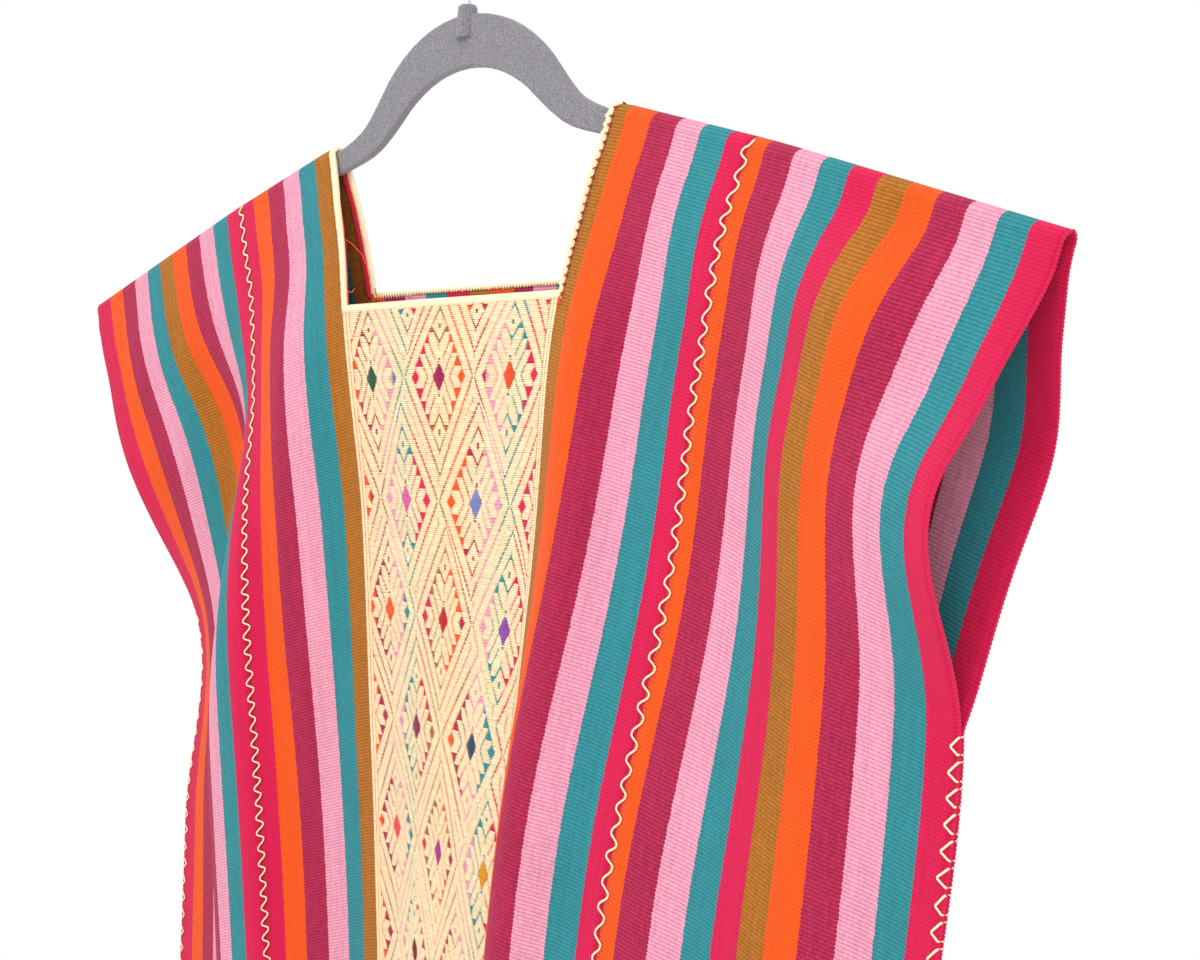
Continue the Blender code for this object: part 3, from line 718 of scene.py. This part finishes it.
def chart(u, v, row):  # 0 bare ground, 1 cream, 2 and up the colours of lozenge centres
    best = np.full_like(u, 99.0)
    second = best.copy()
    code = np.zeros(len(u), int)
    odd = row % 2
    for k, one in enumerate(lozengeRows):
        beyond = lozengeRows[max(k - 1, 0) if v < one.down else min(k + 1, len(lozengeRows) - 1)]
        pitch = abs(beyond.down - one.down) or brocade["pitch"]
        b = abs(v - one.down) * brocade["pitch"] / pitch
        if b > brocade["rowsReach"] * brocade["pitch"]:
            continue
        spots = [across for across, _ in one.lozenges]
        for n, spot in enumerate(spots):
            before = spots[n - 1] if n else spot - 2 * brocade["half"]
            after = spots[n + 1] if n + 1 < len(spots) else spot + 2 * brocade["half"]
            half = np.where(u < spot, spot - before, after - spot) / 2
            a = np.abs(u - spot) * brocade["half"] / half
            q = a / brocade["half"] + b / brocade["reach"]
            near = q < best
            second = np.minimum(second, np.maximum(q, best))
            best = np.minimum(best, q)
            inside = near & (q < brocade["inner"])
            here = motif(a, b, odd)
            here[here == 2] = dyeCode(k, n)
            code[near] = 1
            code[inside] = here[inside]
    onLine = np.abs(best - brocade["line"]) < brocade["lineWide"][1 - odd]
    code[onLine & (second - best > brocade["lineApart"])] = 0
    off = np.abs(u + np.where(u > 0, brocade["rightBorderIn"], 0.0))
    code[off >= brocade["borders"][0][0]] = 1
    for low, high in brocade["borders"]:
        code[(off >= low) & (off < high)] = 0
    code[off >= brocade["edge"]] = 0
    return code


def chartFloats(start, end):  # where each float starts and ends across, how far down it lies, and its colour
    sample = np.arange(-brocade["sampleTo"], brocade["sampleTo"], brocade["sample"])
    loose = brocade["uneven"]
    u0s, u1s, vs, colours = [], [], [], []
    for k in range(math.ceil(start / brocade["row"]), math.ceil(end / brocade["row"])):
        v = k * brocade["row"]
        code = chart(sample, v, k)
        ends = np.flatnonzero(np.diff(code)) + 1
        runs = np.split(np.arange(len(sample)), ends)
        for run in runs:
            what = code[run[0]]
            if what == 0 or len(run) < brocade["shortest"]:
                continue
            a, b = sample[run[0]], sample[run[-1]] + brocade["sample"]
            pieces = max(1, round((b - a) / brocade["longest"])) if what == 1 else 1
            for n in range(pieces):
                left = a + (b - a) * n / pieces
                right = a + (b - a) * (n + 1) / pieces
                u0s.append(left - brocade["overlap"] + rng.normal(0, loose["ends"]))
                u1s.append(right + brocade["overlap"] + rng.normal(0, loose["ends"]))
                vs.append(v + rng.normal(0, loose["row"]))
                colours.append(what)
    return np.array(u0s), np.array(u1s), np.array(vs), colours


def buildFloats(name, start, end):  # each float a low ridge of yarn, three points across
    u0s, u1s, vs, colours = chartFloats(start, end)
    stations, rise = np.array(brocade["stations"]), np.array(brocade["rise"])
    perFloat = 3 * len(stations)
    loose = brocade["uneven"]
    n = len(u0s)
    u = u0s[:, None, None] + (u1s - u0s)[:, None, None] * stations[None, :, None]
    side = np.array((-0.5, 0.0, 0.5))[None, None, :]
    fat = brocade["row"] * brocade["fat"]
    narrow = (brocade["endsFat"] + (1.0 - brocade["endsFat"]) * rise)[None, :, None]
    v = vs[:, None, None] + side * fat * narrow
    u = np.broadcast_to(u, v.shape)
    over = rise[None, :, None] * (1.0 - 4.0 * side**2 * brocade["sideFall"])
    height = brocade["high"] * (1.0 + rng.normal(0, loose["high"], n))[:, None, None]
    bulge = np.clip((u1s - u0s) / 0.5, 0.5, 1.1)[:, None, None]
    lift = brocade["sit"] + height * bulge * over - 0.01 * (np.abs(side) > 0.4)
    points = onCloth(u, v, lift)
    base = (np.arange(n) * perFloat)[:, None, None]
    quads = []
    for s in range(len(stations) - 1):
        for c in range(2):
            a = s * 3 + c
            quads.append((a, a + 3, a + 4, a + 1))
    faces = (base + np.array(quads)[None]).reshape(-1, 4)
    cream = np.array(linear(yarn["cream"]))
    palette = {1: cream}
    for k, one in enumerate(lozengeRows):
        for m, (_, dyeAndPaintedShade) in enumerate(one.lozenges):
            palette[dyeCode(k, m)] = np.array(linear(dyeAndPaintedShade))
    dyeAndPaintedShade = np.array([palette.get(c, cream) for c in colours])
    shade = (1.0 + rng.normal(0, loose["shade"], n))[:, None]
    dyeAndPaintedShade[:, :3] *= shade
    dyeAndPaintedShade = np.repeat(dyeAndPaintedShade, perFloat, axis=0).reshape(n, len(stations), 3, 4)
    dyeAndPaintedShade[:, (0, -1), :, :3] *= brocade["shadeAtFloatEnds"]  # painted shade, warmed towards the ground's colour, where a float's ends and sides sink between their neighbours
    dyeAndPaintedShade[:, :, (0, -1), :3] *= brocade["shadeAtFloatSides"]
    dyeAndPaintedShade = dyeAndPaintedShade.reshape(-1, 4)
    return newPiece(name, points.reshape(-1, 3), faces, brocadeYarn, dyeAndPaintedShade=np.clip(dyeAndPaintedShade, 0, 1))


brocadeYarn = yarnMaterial("brocadeYarn")
cuts = (cloth["neckFront"] - 0.02, 22.0, 36.0, 50.0, cloth["length"] - 0.6)
for name, start, end in zip(("brocadeTop", "brocadeChest", "brocadeWaist", "brocadeHem"), cuts, cuts[1:]):
    buildFloats(name, start, end)


# ---- sewing threads and the neck edging
def tube(paths, radius, sides=6, flatten=1.0):
    vertices, faces = [], []
    for path in paths:
        path = np.asarray(path, float)
        r = np.broadcast_to(np.asarray(radius, float), (len(path),))
        way = np.gradient(path, axis=0)
        way /= np.linalg.norm(way, axis=1, keepdims=True) + 1e-12
        up = np.array((0.0, -1.0, 0.0))
        sideways = np.cross(way, up)
        sideways /= np.linalg.norm(sideways, axis=1, keepdims=True) + 1e-12
        normal = np.cross(sideways, way)
        base = len(vertices)
        for k in range(len(path)):
            for s in range(sides):
                angle = math.tau * s / sides
                out = math.cos(angle) * sideways[k] + flatten * math.sin(angle) * normal[k]
                vertices.append(path[k] + r[k] * out)
        for k in range(len(path) - 1):
            for s in range(sides):
                t = (s + 1) % sides
                a = base + k * sides
                faces.append((a + s, a + t, a + sides + t, a + sides + s))
        faces.append(tuple(base + s for s in range(sides))[::-1])
        last = base + (len(path) - 1) * sides
        faces.append(tuple(last + s for s in range(sides)))
    return vertices, faces


def newTubes(name, paths, radius, material, slot, **more):
    vertices, faces = tube(paths, radius, **more)
    return newPiece(name, vertices, faces, material)


creamYarn = yarnMaterial("creamYarn", yarn["cream"])
redYarn = yarnMaterial("redYarn", (186, 44, 30))
orangeYarn = yarnMaterial("orangeYarn", (240, 84, 30))
crimsonYarn = yarnMaterial("crimsonYarn", (232, 42, 62))
sewing = {
    "radius": 0.052,
    "flat": 0.75,
    "proud": 0.115,
    "first": 0.35,  # from the shoulder fold down to the first stitch, and from the last one to the hem
    "last": 1.2,
    # the side seam's stitches: how deep, and how far down each leg and the gap after them run
    "deep": 0.4,
    "legs": (0.5, 0.22),
    "gap": 0.28,
    "belowArmhole": 0.2,
    "aboveHem": 1.0,
}


def uneven(size, spread):  # a hand's variation about a size
    return size * (1.0 - spread / 2 + spread * random.random())


def stitchPath(corners, perLeg=5):  # flat corners (across, along, lift) joined by legs that stay on the cloth
    corners = np.array(corners, float)
    out = [corners[:1]]
    for a, b in zip(corners, corners[1:]):
        t = np.linspace(0, 1, perLeg + 1)[1:, None]
        out.append(a + (b - a) * t)
    flat = np.concatenate(out)
    return onCloth(flat[:, 0], flat[:, 1], flat[:, 2])


def lacing(name, side, longLeg, shortLeg, reach):  # a soft zigzag that joins two selvages, over both faces
    paths = []
    join = side * cloth["joinAt"]
    t = np.linspace(0.0, 1.0, 6)[:-1]
    for way in (1, -1):
        v = sewing["first"]
        across, along = [], []
        while v < cloth["length"] - sewing["last"]:
            wide = uneven(reach, 0.3)
            for leg, start in ((longLeg, 1.0), (shortLeg, -1.0)):
                leg = uneven(leg, 0.2)
                across.append(join + wide * start * (1.0 - 2.0 * ease(1.15 * t - 0.05)))
                along.append(v + leg * t)
                v += leg
        across, along = np.concatenate(across), np.concatenate(along)
        paths.append(onCloth(across, way * along, np.full(len(across), sewing["proud"])))
    return newTubes(name, paths, sewing["radius"] * cm, creamYarn, "cream_cotton", flatten=sewing["flat"])


lacingRight = lacing("lacingRight", 1, 0.72, 0.33, 0.22)
lacingLeft = lacing("lacingLeft", -1, 0.5, 0.33, 0.18)


def sideStitches(name, side):  # triangles over the two selvages, below the armhole
    paths = []
    edgeU = side * cloth["halfWidth"]
    v = cloth["armhole"] + sewing["belowArmhole"]
    sit = sewing["proud"]
    low = 0.4 * sit
    out = np.array((side * 0.0006, 0.0, 0.0))

    def atEdge(along):
        return onCloth(np.array([edgeU]), np.array([along]), np.array([low]))[0]

    while v < cloth["length"] - sewing["aboveHem"]:
        inner = edgeU - side * uneven(sewing["deep"], 0.3)
        outer = edgeU - side * 0.04
        first = uneven(sewing["legs"][0], 0.2)
        both = first + sewing["legs"][1]
        for way in (1, -1):
            paths.append(stitchPath((
                (edgeU, way * v, low), (outer, way * (v + 0.05), sit), (inner, way * (v + first), sit),
                (inner + side * 0.02, way * (v + first + 0.06), sit), (outer, way * (v + both), sit),
                (edgeU, way * (v + both), low)), 3))
        for along in (v, v + both):  # round the edge, from the front to the back
            a, b = atEdge(along), atEdge(-along)
            paths.append(np.array((a, (a + b) / 2 + out, b)))
        v += both + sewing["gap"]
    return newTubes(name, paths, sewing["radius"] * cm, creamYarn, "cream_cotton", flatten=sewing["flat"])


turns = {"radius": 0.075, "bead": 0.02, "inward": 0.02, "fromHem": 0.1}


def selvage(name, side):  # the weft's turns, a row of small beads down the edge
    end = cloth["length"] - turns["fromHem"]
    along = np.arange(-end, end, weave["rib"] / 4)
    across = np.full(len(along), side * (cloth["halfWidth"] - turns["inward"]))
    path = onCloth(across, along, np.zeros(len(along)))
    beads = turns["radius"] + turns["bead"] * np.cos(along / weave["rib"] * math.tau)
    return newTubes(name, [path], beads * cm, yarnMaterial(name + "Yarn", yarn["hot"]), "striped_cotton")


selvageRight = selvage("selvageRight", 1)
selvageLeft = selvage("selvageLeft", -1)
sideStitchesRight = sideStitches("sideStitchesRight", 1)
sideStitchesLeft = sideStitches("sideStitchesLeft", -1)
print("sewing done")

edging = {
    "step": 0.1,
    # how far each side's cord reaches into the hole, and how plump it is: right, front, left, back
    "wide": (0.34, 0.40, 0.34, 0.19),
    "plump": (0.12, 0.14, 0.13, 0.09),
    "scallop": 0.42,
    "scallopHigh": 0.16,
    "swell": (0.06, 0.9),  # how much the cord swells, and how often
    "lumps": 0.05,
    "comb": 0.21,
    "combEnds": -5.4,  # they are longest left of here
    "inside": -0.13,  # lifts off the cloth's inner face
    "wrap": 0.1,
    "leftEnds": 0.14,
}


def neckLoop(step):  # flat places round the neck hole, which way is off the cloth, and the side's number
    side, front, back = cloth["neckHalf"], cloth["neckFront"], cloth["neckHoleBack"]
    corners = ((side, -back), (side, front), (-side, front), (-side, -back), (side, -back))
    aways = ((1, 0), (0, 1), (-1, 0), (0, -1))
    places = []
    for number, ((u0, v0), (u1, v1), away) in enumerate(zip(corners, corners[1:], aways)):
        count = round(math.hypot(u1 - u0, v1 - v0) / step)
        for k in range(count):
            t = k / count
            places.append((u0 + (u1 - u0) * t, v0 + (v1 - v0) * t, *away, number))
    return np.array(places)


def buildEdging():
    vertices, faces = [], []
    loop = neckLoop(edging["step"])
    number = loop[:, 4].astype(int)
    wide, plump = np.array(edging["wide"])[number], np.array(edging["plump"])[number]
    ring = ((-1.0, 0.1), (-0.9, 0.72), (-0.5, 1.0), (0.02, 0.8), (0.02, -0.4), (-0.12, -0.75), (-0.5, -1.0),
            (-0.9, -0.72))
    n = len(loop)
    run = np.arange(n) * edging["step"]
    scallop = edging["scallopHigh"] * np.cos(run * math.tau / edging["scallop"])
    scallop = np.where(number == 0, scallop, 0.0)
    high, every = edging["swell"]
    swell = 1.0 + high * np.sin(run * math.tau / every) + edging["lumps"] * rng.normal(0, 1, n) + scallop
    for inward, lift in ring:
        off = wide * inward * (1.0 + (scallop if inward < -0.3 else 0.0))
        u, v = loop[:, 0] + loop[:, 2] * off, loop[:, 1] + loop[:, 3] * off
        vertices.append(onCloth(u, v, lift * plump * swell))
    vertices = np.stack(vertices, axis=1).reshape(-1, 3)
    m = len(ring)
    for k in range(n):
        after = (k + 1) % n
        for s in range(m):
            t = (s + 1) % m
            faces.append((k * m + s, k * m + t, after * m + t, after * m + s))
    return newPiece("neckEdging", vertices, faces, creamYarn)


neckEdging = buildEdging()
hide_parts("neck_edging")


def strand(*corners):  # a short yarn through flat corners (across, along, lift)
    return onCloth(*np.array(corners).T)


teeth, comb, reds, crimsons = [], [], [], []
side, front, back = cloth["neckHalf"], cloth["neckFront"], cloth["neckHoleBack"]
inside = edging["inside"]
for v in np.arange(0.3 - back, front - 0.1, edging["scallop"]):  # cream scallops on the right, red between
    reach = 0.03 + 0.03 * random.random()
    teeth.append(strand((side - 0.24, v, 0.08), (side - 0.08, v + 0.02, 0.12),
                        (side + reach, v + 0.05, 0.09)))
    gapAt = v + 0.5 * edging["scallop"]
    tip = 0.02 + 0.06 * random.random()
    reds.append(strand((side + 0.11, gapAt - 0.09, 0.07), (side - tip, gapAt, 0.14),
                       (side + 0.11, gapAt + 0.09, 0.07)))
for u in np.arange(-side + 0.35, side - 0.2, edging["comb"]):  # the back's cream pegs, on the inside
    deep = (0.02 if u > edging["combEnds"] else 0.12) + 0.06 * random.random()
    comb.append(strand((u, 0.1 - back, inside + 0.02), (u + 0.02, -back - 0.02, inside),
                       (u + 0.05, -back - deep, inside + 0.02)))
for v in np.arange(0.05 - back, -0.3, edging["wrap"]):  # crimson wrapping inside the back's two sides
    for way in (-1, 1):
        deep = 0.30 + 0.16 * random.random()
        crimsons.append(strand((way * (side - 0.10), v, inside - 0.02),
                               (way * (side + 0.12), v, inside - 0.05),
                               (way * (side + deep), v + 0.06, inside + 0.02)))
for v in np.arange(4.0, front, edging["leftEnds"]):  # crimson ends behind the left cord
    length = 0.34 + 0.07 * random.random()
    crimsons.append(strand((-side + 0.05, v, -0.10), (-side + 0.25, v + 0.03, -0.12),
                           (-side + length + 0.02, v + 0.07, -0.09)))
# each strand's radius at its three points
strandRadii = {
    "teeth": (0.10, 0.125, 0.05),
    "comb": (0.05, 0.055, 0.03),
    "reds": (0.03, 0.05, 0.03),
    "crimsons": (0.05, 0.055, 0.02),
}
radii = {kind: np.array(sizes) * cm for kind, sizes in strandRadii.items()}
neckTeeth = newTubes("neckTeeth", teeth, radii["teeth"], creamYarn, "cream_cotton", flatten=0.6)
neckComb = newTubes("neckComb", comb, radii["comb"], creamYarn, "cream_cotton")
neckReds = newTubes("neckReds", reds, radii["reds"], redYarn, "cream_cotton", sides=5)
neckCrimsons = newTubes("neckCrimsons", crimsons, radii["crimsons"], crimsonYarn, "cream_cotton", sides=5)
# loose ends of orange thread, by the same flat corners
looseEnds = (
    ((-8.35, 5.4, -0.1), (-8.2, 5.7, -0.5), (-7.95, 6.3, -0.9), (-7.85, 6.8, -1.0)),
    ((-8.3, 8.3, -0.1), (-8.1, 8.35, -0.25), (-7.95, 8.15, -0.3)),
    ((-8.1, -8.75, -0.14), (-8.0, -8.4, -0.25), (-7.95, -8.05, -0.3)),
    ((-8.5, -8.5, -0.16), (-8.2, -8.8, -0.3), (-7.9, -8.6, -0.2), (-7.7, -8.85, -0.25)),
    ((-8.3, -8.9, -0.2), (-8.0, -8.65, -0.3), (-7.75, -8.75, -0.2), (-8.1, -8.8, -0.28)),
    ((8.7, 9.2, 0.13), (8.55, 9.5, 0.2), (8.75, 9.7, 0.14), (8.5, 9.65, 0.18)),
)
threadRadius = 0.028
ends = [stitchPath(corners, 4) for corners in looseEnds]
neckThreads = newTubes("neckThreads", ends, threadRadius * cm, orangeYarn, "cream_cotton", sides=5)
print("neck edged")

# ---- hanger and hook
flock = {"dark": (108, 106, 112), "pale": (148, 144, 149), "speckle": 1500.0, "nap": 1400.0, "bump": 0.0003}
wire = {"dark": (205, 205, 208), "pale": (228, 228, 230), "scuff": 220.0, "bump": 0.0001}


def flockMaterial():
    made, tree, shader = newMaterial("speckledFlock", 0.95)
    place = tree.nodes.new("ShaderNodeTexCoord").outputs["Object"]
    speckle = stepBetween(tree, noise(tree, place, flock["speckle"], 3.0), 0.3, 0.7)
    colour = mixColour(tree, speckle, linear(flock["dark"]), linear(flock["pale"]))
    tree.links.new(colour, shader.inputs["Base Color"])
    shader.inputs["Sheen Weight"].default_value = 0.3
    shader.inputs["Specular IOR Level"].default_value = 0.1
    bumpTo(tree, shader, noise(tree, place, flock["nap"], 2.0), flock["bump"], 0.6)
    return made


def wireMaterial():
    made, tree, shader = newMaterial("platedWire", 0.28)
    shader.inputs["Metallic"].default_value = 1.0
    place = tree.nodes.new("ShaderNodeTexCoord").outputs["Object"]
    scuff = noise(tree, place, wire["scuff"], 3.0)
    colour = mixColour(tree, scuff, linear(wire["dark"]), linear(wire["pale"]))
    tree.links.new(colour, shader.inputs["Base Color"])
    bumpTo(tree, shader, scuff, wire["bump"], 0.2)
    return made


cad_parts["hanger"].material_slots[0].material = flockMaterial()
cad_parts["hanger_hook"].material_slots[0].material = wireMaterial()
print("hanger and hook finished")

# ---- floor and light, in metres; the floor fades to plain white between two distances
stage = {"floor": -1.02, "size": 40.0, "colour": (250, 249, 246), "fade": (0.6, 3.5)}


def floorMaterial():
    made, tree, shader = newMaterial("palePlaster", 0.9)
    place = tree.nodes.new("ShaderNodeTexCoord").outputs["Object"]
    away = tree.nodes.new("ShaderNodeVectorMath")
    away.operation = "LENGTH"
    tree.links.new(place, away.inputs[0])
    far = stepBetween(tree, away.outputs["Value"], *stage["fade"])
    colour = mixColour(tree, far, linear(stage["colour"]), (0.0, 0.0, 0.0, 1.0))
    tree.links.new(colour, shader.inputs["Base Color"])
    shader.inputs["Emission Color"].default_value = (1.0, 1.0, 1.0, 1.0)
    tree.links.new(far, shader.inputs["Emission Strength"])
    tree.links.new(math2(tree, "MULTIPLY_ADD", far, -0.5, 0.5), shader.inputs["Specular IOR Level"])
    return made


bpy.ops.object.select_all(action="DESELECT")
bpy.ops.mesh.primitive_plane_add(size=stage["size"], location=(0.0, 0.0, stage["floor"]))
floor = bpy.context.object
floor.name = "floor"
floor.data.materials.append(floorMaterial())

world = bpy.data.worlds.new("studio")
bpy.context.scene.world = world
world.use_nodes = True
sky = world.node_tree.nodes["Background"]
sky.inputs["Color"].default_value = (1.0, 1.0, 1.0, 1.0)
sky.inputs["Strength"].default_value = 1.0


def areaLight(name, place, aim, size, power):
    data = bpy.data.lights.new(name, "AREA")
    data.shape = "SQUARE"
    data.size = size
    data.energy = power
    made = bpy.data.objects.new(name, data)
    bpy.context.scene.collection.objects.link(made)
    made.location = place
    made.rotation_mode = "QUATERNION"
    made.rotation_quaternion = (Vector(aim) - Vector(place)).to_track_quat("-Z", "Y")
    return made


areaLight("windowLight", (-0.2, -0.95, 0.55), (0.05, 0.0, -0.15), 0.9, 4.6)
areaLight("roomLight", (0.95, -0.8, 0.3), (0.3, 0.0, -0.12), 1.0, 3.9)
bpy.context.scene.view_settings.view_transform = "Standard"
print("stage lit")
